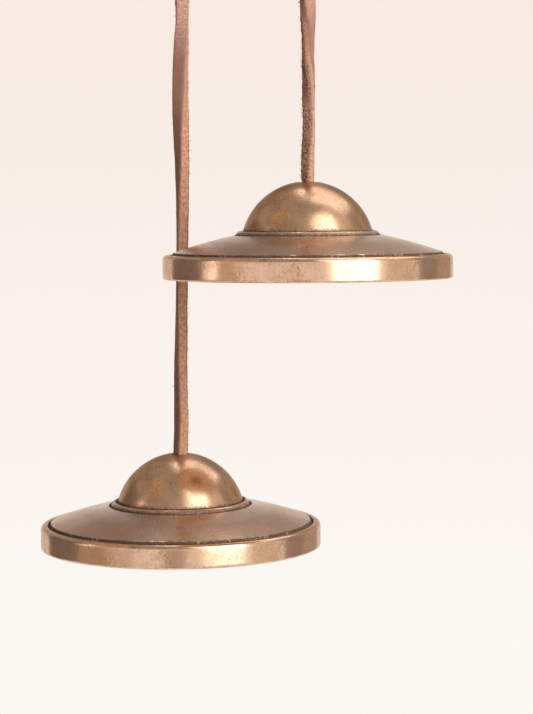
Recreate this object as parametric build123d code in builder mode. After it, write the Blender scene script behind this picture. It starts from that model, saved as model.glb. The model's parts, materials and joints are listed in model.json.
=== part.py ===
from build123d import *

import os
from math import atan2, degrees, radians, sqrt, tan

# A pair of hand cymbals hung on one leather thong, in millimetres.
# The origin is the underside of the thong's bight, where the pair is held up. +Z is up.
# The bight lies in the XZ plane, with the upper cymbal on its +X leg and the lower one on its -X leg.

# Cymbal, one casting for both
cymbal_diameter = 70.0
cymbal_height = 23.4
dome_radius = 16.2
dome_foot_height = 11.65
dome_wall = 2.6
hole_diameter = 4.4
hole_round = 0.3

# Beaded step between the dome and the shoulder
step_groove_width = 0.45
step_groove_depth = 0.45
bead_width = 1.35
bead_rise = 0.35
step_drop = 1.2

# Shoulder, rim groove and rim band
shoulder_edge_inset = 2.6
shoulder_edge_height = 6.35
shoulder_bulge = 0.25
shoulder_wall = 2.8
rim_groove_inset = 2.05
rim_groove_depth = 0.4
rim_lip_width = 0.6
rim_round = 1.1
band_height = 4.75
rim_foot_round = 0.5

# Flat striking face and the hollow inside it
strike_width = 5.0
recess_draft = 1.0
recess_round = 1.2

# Leather thong
thong_width = 3.0
thong_thickness = 2.8
thong_round = 0.5

# How the pair hangs: drops run from the foot of the bight's arch to the dome's top,
# and leans tip a dome towards +X and +Y, in degrees
rim_clearance = 2.2
upper_drop = 48.6
lower_drop = 116.8
upper_lean = (-0.97, 0.73)
lower_lean = (0.40, -1.82)

# Places where the thong bends
bight_leg = 0.5
bend_gap = 0.3
bend_pitch = 10.0
lowest_bend_rise = 3.5

# Knot inside the dome
knot_radius = 3.9
knot_height = 7.0
knot_seat_radius = 1.9
knot_gap = 0.35
wrap_radius = 3.3
wrap_section = 1.25
wrap_tilt = 20.0
tail_length = 7.0
tail_tilt = 12.0

rim_radius = cymbal_diameter / 2
dome_centre = cymbal_height - dome_radius
hollow_radius = dome_radius - dome_wall
half_span = (rim_radius + rim_clearance + thong_thickness / 2) / 2


def dome_reach(radius, height):
    """Distance from the axis to a sphere about the dome's centre, at a height above the rim."""
    return sqrt(radius**2 - (height - dome_centre) ** 2)


def shoulder_chord(reach):
    """Height of the straight line under the shoulder's bulge, at a distance from the axis."""
    rise = shoulder_top[1] - shoulder_edge[1]
    return shoulder_edge[1] + rise * (shoulder_edge[0] - reach) / (shoulder_edge[0] - shoulder_top[0])


# Outline of the casting as distance from the axis and height above the rim
dome_foot = (dome_reach(dome_radius, dome_foot_height), dome_foot_height)
dome_foot_angle = degrees(atan2(dome_foot_height - dome_centre, dome_foot[0]))
step_width = bead_width + 2 * step_groove_width
shoulder_top = (dome_foot[0] + step_width, dome_foot_height - step_drop)
shoulder_edge = (rim_radius - shoulder_edge_inset, shoulder_edge_height)
rim_top = band_height + rim_round


def step_point(across, rise):
    """A point on the beaded step: a distance out from the dome's foot, and a rise off its slope."""
    return (dome_foot[0] + across, dome_foot_height - step_drop * across / step_width + rise)


def save(piece, node):
    """Label a finished sub-part and write its file."""
    piece.part.label = node
    export_step(piece.part, f"parts/{node}.step")


def make_cymbal(seat):
    """A cymbal whose flat striking face lies in the plane seat, with its dome along the plane's Z."""
    axis = Axis(seat.origin, seat.z_dir)
    half = Plane(origin=seat.origin, x_dir=seat.x_dir, z_dir=-seat.y_dir)
    with BuildPart() as cymbal:
        with BuildSketch(half):
            with BuildLine():
                CenterArc((0, dome_centre), dome_radius, dome_foot_angle, 90 - dome_foot_angle)
                Polyline(
                    dome_foot,
                    step_point(step_groove_width / 2, -step_groove_depth),
                    step_point(step_groove_width, 0),
                )
                ThreePointArc(
                    step_point(step_groove_width, 0),
                    step_point(step_width / 2, bead_rise),
                    step_point(step_width - step_groove_width, 0),
                )
                Polyline(
                    step_point(step_width - step_groove_width, 0),
                    step_point(step_width - step_groove_width / 2, -step_groove_depth),
                    shoulder_top,
                )
                shoulder_mid = (shoulder_top[0] + shoulder_edge[0]) / 2
                ThreePointArc(
                    shoulder_top,
                    (shoulder_mid, shoulder_chord(shoulder_mid) + shoulder_bulge),
                    shoulder_edge,
                )
                Polyline(
                    shoulder_edge,
                    (rim_radius - rim_groove_inset, rim_top - rim_groove_depth),
                    (rim_radius - rim_round - rim_lip_width, rim_top),
                    (rim_radius - rim_round, rim_top),
                )
                CenterArc((rim_radius - rim_round, band_height), rim_round, 0, 90)
                Line((rim_radius, band_height), (rim_radius, rim_foot_round))
                CenterArc((rim_radius - rim_foot_round, rim_foot_round), rim_foot_round, -90, 90)
                Polyline((rim_radius - rim_foot_round, 0), (0, 0), (0, cymbal_height))
            make_face()
        revolve(axis=axis)

        # Hollow: a cone under the shoulder, with a steep wall inside the striking face,
        # and a sphere under the dome
        with BuildSketch(half):
            recess_mouth = rim_radius - strike_width
            recess_reach = recess_mouth - recess_draft
            recess_edge = (recess_reach, shoulder_chord(recess_reach) - shoulder_wall)
            with BuildLine():
                Polyline(
                    (0, 0),
                    (recess_mouth, 0),
                    recess_edge,
                    (0, shoulder_chord(0) - shoulder_wall),
                    close=True,
                )
            recess = make_face()
            fillet(recess.vertices().sort_by_distance(recess_edge)[0], recess_round)
        revolve(axis=axis, mode=Mode.SUBTRACT)
        with Locations(seat.offset(dome_centre)):
            Sphere(hollow_radius, mode=Mode.SUBTRACT)

        with Locations(seat.offset(cymbal_height)):
            Hole(hole_diameter / 2)
        hole_edges = cymbal.edges().filter_by(GeomType.CIRCLE)
        hole_edges = hole_edges.filter_by(lambda edge: abs(edge.radius - hole_diameter / 2) < 0.001)
        fillet(hole_edges.sort_by(axis)[-1], hole_round)
    return cymbal


def make_stretch(x, bend, bottom, bend_plane, deep, wide):
    """A straight stretch of thong with a rounded top about a bend, and a flat bottom end.

    The thong measures deep in the plane that it bends in, and wide along the bend.
    """
    with BuildPart() as stretch:
        with BuildSketch(Plane(origin=(x, 0, bend), x_dir=bend_plane.x_dir, z_dir=bend_plane.z_dir)):
            Circle(deep / 2)
            Rectangle(deep, bend - bottom, align=(Align.CENTER, Align.MAX))
        extrude(amount=wide / 2, both=True)
        fillet(stretch.edges().filter_by(Axis.Z), thong_round)
    return stretch


def make_knot(x, centre, top):
    """An overhand knot: a round body, the turn that crosses it, and the thong's cut tail."""
    with BuildPart() as knot:
        with BuildSketch(Plane(origin=(x, 0, centre), x_dir=(1, 0, 0), z_dir=(0, -1, 0))):
            Ellipse(knot_radius, knot_height / 2)
            with Locations((0, top - centre)):
                Rectangle(
                    knot_radius, 2 * knot_height, align=(Align.MIN, Align.MAX), mode=Mode.INTERSECT
                )
        revolve(axis=Axis((x, 0, centre), (0, 0, 1)))
        with Locations(Location((x, 0, centre), (wrap_tilt, 0, 0))):
            Torus(wrap_radius, wrap_section)
        with BuildSketch(Plane((x, 0, centre)).rotated((tail_tilt, 0, 0))):
            RectangleRounded(thong_thickness, thong_width, thong_round)
        extrude(amount=-(knot_height / 2 + tail_length))
    return knot


os.makedirs("parts", exist_ok=True)

# Bight: the thong's arch over what holds it, in even turns, with a short straight leg on each side
thong_middle = thong_thickness / 2
arch_foot = thong_middle - half_span
arch_corner = half_span * tan(radians(22.5))
bight_end = arch_foot - bight_leg
bight_route = [
    (-half_span, 0, bight_end),
    (-half_span, 0, arch_foot + arch_corner),
    (-arch_corner, 0, thong_middle),
    (arch_corner, 0, thong_middle),
    (half_span, 0, arch_foot + arch_corner),
    (half_span, 0, bight_end),
]
bight_radius = 0.45 * 2 * arch_corner / tan(radians(22.5))
with BuildPart() as bight:
    with BuildLine() as route:
        FilletPolyline(*bight_route, radius=bight_radius)
    with BuildSketch(Plane(bight_route[0])) as section:
        RectangleRounded(thong_thickness, thong_width, thong_round)
    sweep(path=route.line)
save(bight, "strap_bight")
print(f"bight radius {bight_radius:.2f} mm on each of its four turns")
swept = section.sketch.area * route.wire().length
print(f"bight volume {bight.part.volume:.1f} cubic mm, section times length {swept:.1f}")

# The two legs: each bends out and across below the bight, and across and out above its cymbal
hangers = {
    "upper": (half_span, arch_foot - upper_drop, upper_lean),
    "lower": (-half_span, arch_foot - lower_drop, lower_lean),
}
bend_out = thong_thickness / 2 + bend_gap
bend_across = thong_width / 2 + bend_gap
bends_out = (Plane.XZ, thong_thickness, thong_width)
bends_across = (Plane.YZ, thong_width, thong_thickness)
for side, (x, dome_top, lean) in hangers.items():
    first_bend = bight_end - bend_out
    second_bend = first_bend - bend_pitch
    fourth_bend = dome_top + lowest_bend_rise
    third_bend = fourth_bend + bend_pitch
    save(make_stretch(x, first_bend, second_bend + bend_across, *bends_out), f"{side}_strap_neck")
    save(make_stretch(x, second_bend, third_bend + bend_across, *bends_across), f"{side}_strap_run")
    save(make_stretch(x, third_bend, fourth_bend + bend_out, *bends_across), f"{side}_strap_foot")

    # The knot bears on the hollow's ceiling around the hole
    rim_height = dome_top - cymbal_height
    ceiling = rim_height + dome_centre + sqrt(hollow_radius**2 - (hole_diameter / 2) ** 2)
    bearing = knot_height / 2 * sqrt(1 - (hole_diameter / 2 / knot_radius) ** 2)
    knot_centre = ceiling - knot_gap - bearing
    knot_top = knot_centre + knot_height / 2 * sqrt(1 - (knot_seat_radius / knot_radius) ** 2)
    save(make_stretch(x, fourth_bend, knot_top, *bends_out), f"{side}_strap_end")
    save(make_knot(x, knot_centre, knot_top), f"{side}_knot")

    up = Vector(tan(radians(lean[0])), tan(radians(lean[1])), 1).normalized()
    seat = Plane(origin=(x, 0, dome_top), z_dir=up).offset(-cymbal_height)
    save(make_cymbal(seat), f"{side}_cymbal")
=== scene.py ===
# %% [markdown]
# # Tingsha: two bronze hand cymbals on one leather thong
#
# Two small domed castings hang from the ends of a leather thong, which is held up by its middle. The solid
# model gives their true size and place, and this lesson gives them their looks: turned bronze with dark
# patina in its grooves, and a hand-cut thong that twists as it hangs.

# %% Load the solid model
import json
import math
import random

import bpy
from mathutils import Matrix, Vector, noise


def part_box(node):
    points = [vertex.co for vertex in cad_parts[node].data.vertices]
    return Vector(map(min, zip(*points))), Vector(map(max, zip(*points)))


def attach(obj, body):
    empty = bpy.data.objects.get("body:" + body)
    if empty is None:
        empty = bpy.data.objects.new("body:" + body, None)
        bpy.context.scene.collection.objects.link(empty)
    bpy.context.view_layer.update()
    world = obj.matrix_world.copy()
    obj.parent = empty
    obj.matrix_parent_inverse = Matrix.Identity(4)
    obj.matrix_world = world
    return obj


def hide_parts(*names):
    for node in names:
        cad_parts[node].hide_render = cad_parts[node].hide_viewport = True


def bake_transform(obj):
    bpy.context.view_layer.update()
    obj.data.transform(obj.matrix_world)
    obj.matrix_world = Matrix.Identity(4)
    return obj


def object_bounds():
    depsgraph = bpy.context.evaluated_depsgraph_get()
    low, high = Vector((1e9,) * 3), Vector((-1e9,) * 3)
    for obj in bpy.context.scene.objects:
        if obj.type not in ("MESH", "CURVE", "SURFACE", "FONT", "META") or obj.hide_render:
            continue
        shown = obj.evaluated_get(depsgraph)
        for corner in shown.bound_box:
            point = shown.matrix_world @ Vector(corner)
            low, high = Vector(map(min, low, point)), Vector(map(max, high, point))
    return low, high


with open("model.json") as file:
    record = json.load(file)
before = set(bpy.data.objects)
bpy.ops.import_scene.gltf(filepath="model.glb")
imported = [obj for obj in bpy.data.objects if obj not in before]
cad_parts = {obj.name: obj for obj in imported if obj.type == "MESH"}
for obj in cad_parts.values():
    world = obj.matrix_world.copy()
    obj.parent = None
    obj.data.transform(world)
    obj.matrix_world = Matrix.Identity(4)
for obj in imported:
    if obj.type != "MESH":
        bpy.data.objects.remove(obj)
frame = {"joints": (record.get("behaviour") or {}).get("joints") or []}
cad_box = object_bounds()
joints = {joint["name"]: joint for joint in frame["joints"]}
mm = 0.001
scene = bpy.context.scene
scene.view_settings.view_transform = "Standard"
print("solid model, mm:", [round(side / mm, 1) for side in cad_box[1] - cad_box[0]])

# %% [markdown]
# ## Camera
#
# A long lens from a metre or less away, a little above the cymbals and turned so that one hangs in front of
# the other's strand. A camera looks down its own -Z axis, so a level one is tipped up by a quarter turn
# first. The lens is set for a 36 mm film side along the picture's long side, which is the default.

# %% Camera
camera_turn = math.radians(35.21)
camera_dip = math.radians(4.451)
camera_place = Vector((438.37, -610.91, -51.30)) * mm

camera_data = bpy.data.cameras.new("camera")
camera_data.lens = 154.885
camera_data.clip_start = 0.05
camera = bpy.data.objects.new("camera", camera_data)
camera.location = camera_place
camera.rotation_euler = (math.pi / 2 - camera_dip, 0, camera_turn)
scene.collection.objects.link(camera)
scene.camera = camera
print("camera is", round(camera_place.length, 3), "m from the thong's middle")

# %% [markdown]
# ## The thong's line
#
# The thong is one strip of leather: it starts in the knot of the lower cymbal, goes up, over whatever holds
# it, and down to the knot of the upper cymbal. A NURBS spline of order 3 gives it one smooth line. Its
# control points are the arch's corners and a few points on each leg, a fraction of a millimetre off the
# plumb line, because leather keeps a memory of how it was coiled. Blender turns a curve with no thickness
# into a plain row of points, and those points carry everything that follows the thong.

# %% Route of the thong, from the lower knot to the upper one
thong_route = [
    (-19.30, 0.00, -140.20),
    (-19.10, 0.14, -134.70),
    (-18.89, 0.29, -126.00),
    (-19.10, 0.14, -116.00),
    (-18.89, 0.29, -104.00),
    (-18.71, 0.42, -88.00),
    (-18.55, 0.53, -66.00),
    (-18.95, 0.25, -52.00),
    (-19.02, 0.20, -40.00),
    (-18.49, 0.57, -25.85),
    (-18.89, 0.29, -9.91),
    (-7.99, 0.00, 1.40),
    (7.99, 0.00, 1.40),
    (19.30, 0.00, -9.91),
    (19.42, 0.09, -25.85),
    (19.42, 0.09, -36.00),
    (19.55, 0.17, -46.00),
    (19.55, 0.17, -57.00),
    (19.38, 0.06, -63.00),
    (19.30, 0.00, -66.50),
    (19.30, 0.00, -72.00),
]


def spline_points(control_points, steps):
    """Points along a NURBS spline, as Blender gives them for a curve with no bevel."""
    curve = bpy.data.curves.new("route", "CURVE")
    curve.dimensions = "3D"
    curve.resolution_u = steps
    spline = curve.splines.new("NURBS")
    spline.points.add(len(control_points) - 1)
    for point, place in zip(spline.points, control_points):
        point.co = (*place, 1)
    spline.order_u = 3
    spline.use_endpoint_u = True
    holder = bpy.data.objects.new("route", curve)
    mesh = bpy.data.meshes.new_from_object(holder)
    points = [vertex.co.copy() for vertex in mesh.vertices]
    bpy.data.meshes.remove(mesh)
    bpy.data.objects.remove(holder)
    bpy.data.curves.remove(curve)
    return points


def distances(points):
    """How far along the line each point is."""
    along = [0.0]
    for a, b in zip(points, points[1:]):
        along.append(along[-1] + (b - a).length)
    return along


thong_line = spline_points([Vector(point) * mm for point in thong_route], 64)
thong_along = distances(thong_line)
print(len(thong_line), "points on", round(thong_along[-1] / mm, 1), "mm of thong")

# %% [markdown]
# ## A strip of leather that twists
#
# A tube with a round bevel would look like a cable. This thong is cut from hide with a knife: a blunt
# rectangle with a smooth grain side, a napped flesh side and two cut edges, and it turns on itself as it
# hangs. So each ring of the mesh is the rectangle, carried along the line without rolling, then turned by
# the twist that the leather has at that place. A few listed stations say how wide and thick it is and how
# far it has turned.

# %% Frames along the line


def carried_frames(points, first_side):
    """For each point, its tangent, a side direction carried along without rolling, and their normal."""
    frames = []
    side = first_side.copy()
    for i in range(len(points)):
        ahead = points[min(i + 1, len(points) - 1)] - points[max(i - 1, 0)]
        tangent = ahead.normalized()
        side = (side - tangent * side.dot(tangent)).normalized()
        frames.append((tangent, side, side.cross(tangent)))
    return frames


thong_frames = carried_frames(thong_line, Vector((0, 1, 0)))
print(len(thong_frames), "frames, the first with its side along", [round(v, 2) for v in thong_frames[0][1]])

# %% Stations on each leg


def between(stations, place):
    """Values between the stations on either side of a place."""
    if place <= stations[0][0]:
        return stations[0][1:]
    for (start, *low), (end, *high) in zip(stations, stations[1:]):
        if place <= end:
            share = (place - start) / (end - start)
            return [a + (b - a) * share for a, b in zip(low, high)]
    return stations[-1][1:]


# Height, width, thickness and corner round in mm, turn in degrees, and how rough the nap is
lower_stations = [
    (-135, 2.85, 2.85, 0.40, 67, 1.0),
    (-125, 2.80, 2.80, 0.40, 72, 1.0),
    (-120, 2.70, 2.70, 0.40, 70, 1.0),
    (-114, 2.65, 2.65, 0.40, 63, 0.9),
    (-105, 2.65, 2.65, 0.40, 55, 0.8),
    (-99, 2.70, 2.70, 0.40, 46, 0.8),
    (-82, 2.75, 2.75, 0.40, 42, 0.8),
    (-77, 2.75, 2.75, 0.40, 47, 0.8),
    (-68, 2.75, 2.75, 0.40, 59, 0.8),
    (-62, 2.85, 2.85, 0.40, 72, 0.9),
    (-55, 3.00, 3.00, 0.40, 81, 0.9),
    (-50, 3.15, 3.15, 0.40, 90, 0.9),
    (-46, 3.25, 3.20, 0.40, 99, 0.9),
    (-36, 3.20, 3.20, 0.40, 109, 0.8),
    (-31, 3.15, 3.15, 0.40, 115, 0.8),
    (-28, 3.15, 3.10, 0.40, 127, 0.7),
    (-23, 3.20, 3.00, 0.40, 133, 0.7),
    (1.4, 3.00, 2.80, 0.45, 90, 0.8),
]
upper_stations = [
    (-66, 2.65, 2.35, 0.50, -76, 2.0),
    (-63, 2.65, 2.35, 0.50, -85, 1.9),
    (-58, 2.60, 2.30, 0.50, -90, 1.7),
    (-53, 2.60, 2.30, 0.50, -99, 1.5),
    (-49, 2.60, 2.30, 0.55, -100, 1.4),
    (-44, 2.70, 2.40, 0.60, -83, 1.3),
    (-42, 2.80, 2.50, 0.75, -75, 1.2),
    (-39, 3.00, 2.75, 0.90, -55, 1.1),
    (-37, 3.15, 2.90, 0.95, -38, 1.1),
    (-33, 3.30, 2.95, 0.95, -26, 1.0),
    (-30, 3.35, 2.90, 0.85, -15, 1.0),
    (-27, 3.30, 2.80, 0.70, 5, 0.9),
    (-24, 3.25, 2.75, 0.60, 25, 0.8),
    (-20, 3.20, 2.70, 0.55, 34, 0.8),
    (1.4, 3.00, 2.80, 0.45, 90, 0.8),
]
thong_middle = max(range(len(thong_line)), key=lambda i: thong_line[i].z)


def thong_size(i):
    """Width, thickness, corner round, turn and nap of the thong at a point of its line."""
    stations = lower_stations if i < thong_middle else upper_stations
    width, thickness, corner, turn, nap = between(stations, thong_line[i].z / mm)
    return width * mm, thickness * mm, corner * mm, math.radians(turn), nap


widest = max(thong_size(i)[0] for i in range(len(thong_line)))
print("the thong is widest at", round(widest / mm, 2), "mm")

# %% [markdown]
# ## Rings of leather
#
# One function makes the blunt rectangle. Its faces carry a number for the kind of surface: grain, flesh or
# cut edge. Small noise pushes each point in or out, most on the flesh side and least on the grain, so that
# the outline has the uneven nap of real hide and not the clean edge of plastic.

# %% Section of the thong
GRAIN, FLESH, EDGE, NAP = range(4)
corner_steps = 4
side_steps = 4


def section(width, thickness, corner):
    """Outline of the thong as (place, outward direction, kind of surface), one loop."""
    reach = (width / 2 - corner, thickness / 2 - corner)
    corners = [
        ((1, 1), FLESH, FLESH),
        ((-1, 1), FLESH, EDGE),
        ((-1, -1), GRAIN, GRAIN),
        ((1, -1), GRAIN, EDGE),
    ]
    outline = []
    for number, ((across, through), corner_kind, next_side) in enumerate(corners):
        centre = Vector((across * reach[0], through * reach[1]))
        for step in range(corner_steps + 1):
            angle = math.radians(90 * (number + step / corner_steps))
            out = Vector((math.cos(angle), math.sin(angle)))
            kind = next_side if step == corner_steps else corner_kind
            outline.append((centre + out * corner, out, kind))
        following = corners[(number + 1) % 4][0]
        next_centre = Vector((following[0] * reach[0], following[1] * reach[1]))
        for step in range(1, side_steps):
            along = centre.lerp(next_centre, step / side_steps)
            outline.append((along + out * corner, out, next_side))
    return outline


print(len(section(3.0 * mm, 2.8 * mm, 0.4 * mm)), "points round the thong")

# %% Rings along the thong
unevenness = {GRAIN: 0.05 * mm, FLESH: 0.13 * mm, EDGE: 0.10 * mm}
nap_size = 0.7 * mm
lump_size = 2.9 * mm


def leather_ring(centre, tangent, side, normal, width, thickness, corner, turn, nap, along):
    """One ring of the thong: points with their outward directions and kinds of surface."""
    across = side * math.cos(turn) + tangent.cross(side) * math.sin(turn)
    through = normal * math.cos(turn) + tangent.cross(normal) * math.sin(turn)
    ring = []
    for place, out, kind in section(width, thickness, corner):
        outward = across * out.x + through * out.y
        point = centre + across * place.x + through * place.y
        spot = Vector((place.x, place.y, along))
        rise = noise.noise(spot / nap_size) + noise.noise(spot / lump_size)
        ring.append((point + outward * rise * unevenness[kind] * nap, outward, kind))
    return ring


thong_rings = [
    leather_ring(thong_line[i], *thong_frames[i], *thong_size(i), thong_along[i])
    for i in range(len(thong_line))
]
print(len(thong_rings), "rings of", len(thong_rings[0]), "points")

# %% [markdown]
# ## Loose fibres
#
# Cut hide sheds short fibres along its flesh side and edges, and they are what makes the strand look soft
# against a pale ground. Hair particles can't be exported as a mesh, so each fibre is a thin three-sided
# spike with a bend in it, placed by a seeded random generator so that every run gives the same thong.

# %% One loose fibre
fibre_length = (0.40 * mm, 1.20 * mm)
fibre_radius = (0.035 * mm, 0.085 * mm)
fibre_lift = (0.3, 1.0)
fibre_lean = (-0.9, 0.9)
fibre_sway = (-0.7, 0.7)
fibre_cut = (0.5, 1.0)
fibre_root = 3.0
fibre_taper = 0.8


def add_fibre(vertices, faces, root, outward, tangent, rng):
    """One bent, pointed fibre standing on the leather."""
    lean = tangent * rng.uniform(*fibre_lean) + outward.cross(tangent) * rng.uniform(*fibre_sway)
    way = (outward * rng.uniform(*fibre_lift) + lean).normalized()
    radius = rng.uniform(*fibre_radius)
    bend = (way + outward.cross(way) * rng.uniform(*fibre_sway)).normalized()
    length = rng.uniform(*fibre_length) * rng.uniform(*fibre_cut)
    across = way.orthogonal().normalized() * radius
    start = len(vertices)
    elbow = root + way * length * 0.5
    for base, share in ((root - way * radius * fibre_root, 1.0), (elbow, fibre_taper)):
        for third in range(3):
            spoke = Matrix.Rotation(third * math.tau / 3, 3, way) @ across
            vertices.append(base + spoke * share)
    vertices.append(elbow + bend * length * 0.5)
    for third in range(3):
        a, b = start + third, start + (third + 1) % 3
        faces.append(([a, b, b + 3, a + 3], NAP))
        faces.append(([a + 3, b + 3, start + 6], NAP))
    faces.append(([start + 2, start + 1, start], NAP))


print("fibres of", [round(length / mm, 2) for length in fibre_length], "mm")

# %% [markdown]
# ## A stretch of leather as a mesh
#
# The rings become the vertices, and each pair of neighbours is joined by four-sided faces that keep the kind
# of surface as their material's number. One flat face closes each end. The UV map is laid out in millimetres,
# so that the leather's marks are the same size everywhere, and the seam where the strip's last point meets
# its first gets a place of its own past the end of the map.

# %% Mesh of a stretch of leather
fibres_per_mm = {"lower": 5.0, "upper": 14.0}
point_spacing = 0.3
leather_crease = math.radians(50)


def leather_mesh(name, rings, along, fuzz, seed):
    """A closed stretch of thong from its rings, with its fibres and a UV map in millimetres."""
    count = len(rings[0])
    vertices = [point for ring in rings for point, _, _ in ring]
    faces = []
    for i in range(len(rings) - 1):
        for k in range(count):
            n = (k + 1) % count
            this, following = i * count, (i + 1) * count
            faces.append(([this + k, this + n, following + n, following + k], rings[i][k][2]))
    last = (len(rings) - 1) * count
    faces.append((list(range(count))[::-1], FLESH))
    faces.append((list(range(last, last + count)), FLESH))
    rng = random.Random(seed)
    for _ in range(int((along[-1] - along[0]) / mm * fuzz)):
        i = rng.randrange(1, len(rings) - 1)
        point, outward, kind = rng.choice(rings[i])
        if kind != GRAIN:
            tangent = (rings[i + 1][0][0] - rings[i - 1][0][0]).normalized()
            add_fibre(vertices, faces, point, outward, tangent, rng)
    mesh = bpy.data.meshes.new(name)
    mesh.from_pydata(vertices, [], [corners for corners, _ in faces])
    mesh.polygons.foreach_set("material_index", [kind for _, kind in faces])
    mesh.polygons.foreach_set("use_smooth", [True] * len(faces))
    layout = mesh.uv_layers.new(name="leather").data
    for polygon in mesh.polygons:
        for k, loop in zip(polygon.vertices, polygon.loop_indices):
            ring = min(k // count, len(rings) - 1)
            around = k % count
            if around == 0 and polygon.vertices[0] % count == count - 1:
                around = count
            layout[loop].uv = (around * point_spacing, along[ring] / mm)
    mesh.set_sharp_from_angle(angle=leather_crease)
    mesh.validate()
    piece = bpy.data.objects.new(name, mesh)
    scene.collection.objects.link(piece)
    return piece


print("fibres for each mm of thong:", fibres_per_mm)

# %% [markdown]
# ## Where the thong bends
#
# The thong is cut into stretches so that each one crosses a single joint of the model. The two ends of a
# stretch lie halfway between the heights of neighbouring joints, and the heights come from the joints
# themselves.

# %% Stretches of the thong
stretch_seed = {"lower": 40, "upper": 60}
stretch_names = ("bight", "run", "foot", "end")
joint_names = ("swing_out", "swing_across", "tilt_across", "tilt_out")
node_names = ("strap_neck", "strap_run", "strap_foot", "strap_end")


def nearest_ring(side, height):
    """The ring of a leg that is nearest to a height."""
    leg = range(thong_middle) if side == "lower" else range(thong_middle, len(thong_line))
    return min(leg, key=lambda i: abs(thong_line[i].z - height))


def make_leg(side):
    """The four stretches of one leg, from the thong's middle down to the knot."""
    bends = [joints[f"{side}_{joint}"]["pos_m"] for joint in joint_names]
    cuts = [thong_middle]
    cuts += [nearest_ring(side, (a[2] + b[2]) / 2) for a, b in zip(bends, bends[1:])]
    cuts.append(0 if side == "lower" else len(thong_line) - 1)
    stretches = {}
    for number, stretch in enumerate(stretch_names):
        first, last = sorted(cuts[number : number + 2])
        rings, along = thong_rings[first : last + 1], thong_along[first : last + 1]
        seed = stretch_seed[side] + number
        piece = leather_mesh(f"thong_{stretch}_{side}", rings, along, fibres_per_mm[side], seed)
        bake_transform(piece)
        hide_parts(f"{side}_{node_names[number]}")
        stretches[stretch] = (piece, [thong_line[i] for i in range(first, last + 1)])
    return stretches


legs = {side: make_leg(side) for side in ("upper", "lower")}
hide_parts("strap_bight")
for side, leg in legs.items():
    print(side, {name: round(distances(line)[-1] / mm, 1) for name, (_, line) in leg.items()}, "mm")

# %% [markdown]
# ## Overhand knots
#
# Inside each dome the thong ends in an overhand knot that is too big for the hole, with a short cut tail.
# An overhand knot is a trefoil that has been cut open, and a trefoil has a neat formula: the line goes twice
# round a ring while it winds three times about it. The thong comes down into it and the tail goes down out
# of it, so the formula is followed backwards from just short of a full turn.

# %% Line of a knot
knot_ring = 2.30 * mm
knot_swing = 1.05 * mm
knot_depth = 1.50 * mm
knot_shift = 1.70 * mm
knot_squeeze = 0.86
knot_steps = 26
knot_turn_open = 0.04
knot_mouth = 3.2 * mm
tail_fall = 7.0 * mm
# How far each point of the tail stands off the knot's end in mm, and its share of the fall
tail_bends = [((0.2, 0.4, -2.0), 0.0), ((0.5, 0.9, -2.0), 0.5), ((0.3, 1.6, -2.0), 1.0)]


def knot_route(top, centre):
    """Control points of the knot: down from the hole, round the cut trefoil, and down the tail."""
    route = [top, top.lerp(centre + Vector((0, 0, knot_mouth)), 0.5)]
    for step in range(knot_steps + 1):
        share = 1 - step / knot_steps
        t = math.tau * (knot_turn_open + (1 - 2 * knot_turn_open) * share)
        reach = knot_ring + knot_swing * math.cos(3 * t)
        place = (
            reach * math.cos(2 * t) - knot_shift,
            knot_depth * math.sin(3 * t),
            reach * math.sin(2 * t) * knot_squeeze,
        )
        route.append(centre + Vector(place))
    last = route[-1]
    for offset, share in tail_bends:
        route.append(last + Vector(offset) * mm - Vector((0, 0, tail_fall * share)))
    return route


print("a knot's line has", knot_steps + 1, "points round it and", len(tail_bends), "in the tail")

# %% Knots
knot_overlap = 0.6 * mm
knot_sink = 3.6 * mm
knot_width, knot_thickness, knot_corner = 2.45 * mm, 2.05 * mm, 0.5 * mm
knot_nap = 1.3
knot_twist = 0.6
knot_twist_length = 9 * mm


def make_knot(side, seed):
    """The knot and tail of one leg, as one twisted strip."""
    _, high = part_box(f"{side}_knot")
    middle = Vector(joints[f"{side}_tilt_out"]["pos_m"])
    top = Vector((middle.x, middle.y, high.z + knot_overlap))
    centre = Vector((middle.x, middle.y, high.z - knot_sink))
    line = spline_points(knot_route(top, centre), 8)
    along = distances(line)
    rings = []
    for i, directions in enumerate(carried_frames(line, Vector((0, 1, 0)))):
        turn = knot_twist * math.sin(along[i] / knot_twist_length)
        size = (knot_width, knot_thickness, knot_corner, turn, knot_nap)
        rings.append(leather_ring(line[i], *directions, *size, along[i]))
    knot = leather_mesh(f"knot_{side}", rings, along, fibres_per_mm[side], seed)
    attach(knot, f"{side}_end")
    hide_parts(f"{side}_knot")
    return knot, along[-1]


knots = {}
for side, seed in (("upper", 301), ("lower", 302)):
    knots[side], knot_length = make_knot(side, seed)
    print(knots[side].name, "takes", round(knot_length / mm, 1), "mm of thong")

# %% [markdown]
# ## The thong's length
#
# The thong is a free cord. The stretches that are long enough are looked up here, each with its line turned
# to run down from the thong's middle, and the thong's length from hole to hole is printed.

# %% Cord lengths
inside_domes = 11 * mm


def declare(side, stretch):
    """Look up a stretch of thong and its line, turned to run down from the thong's middle; nothing more is
    done.
    """
    piece, line = legs[side][stretch]
    if side == "lower":
        line = line[::-1]


declare("upper", "bight")
declare("lower", "bight")
declare("lower", "run")
declare("lower", "foot")
print("hole to hole the thong is", round((thong_along[-1] - inside_domes) / mm), "mm")

# %% [markdown]
# ## The castings
#
# A tingsha is cast, then turned on a lathe: a dome, a beaded step, a shoulder, a groove and a plain band down
# to the striking face, with a hollow underneath. The solid model has all of these, but its triangles show as
# facets in polished metal, and a lathe leaves small flaws that a perfect solid hasn't. So the same half
# section is turned again here, as a mesh with many steps round, and each stretch of the section carries the
# name of its finish.

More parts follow.
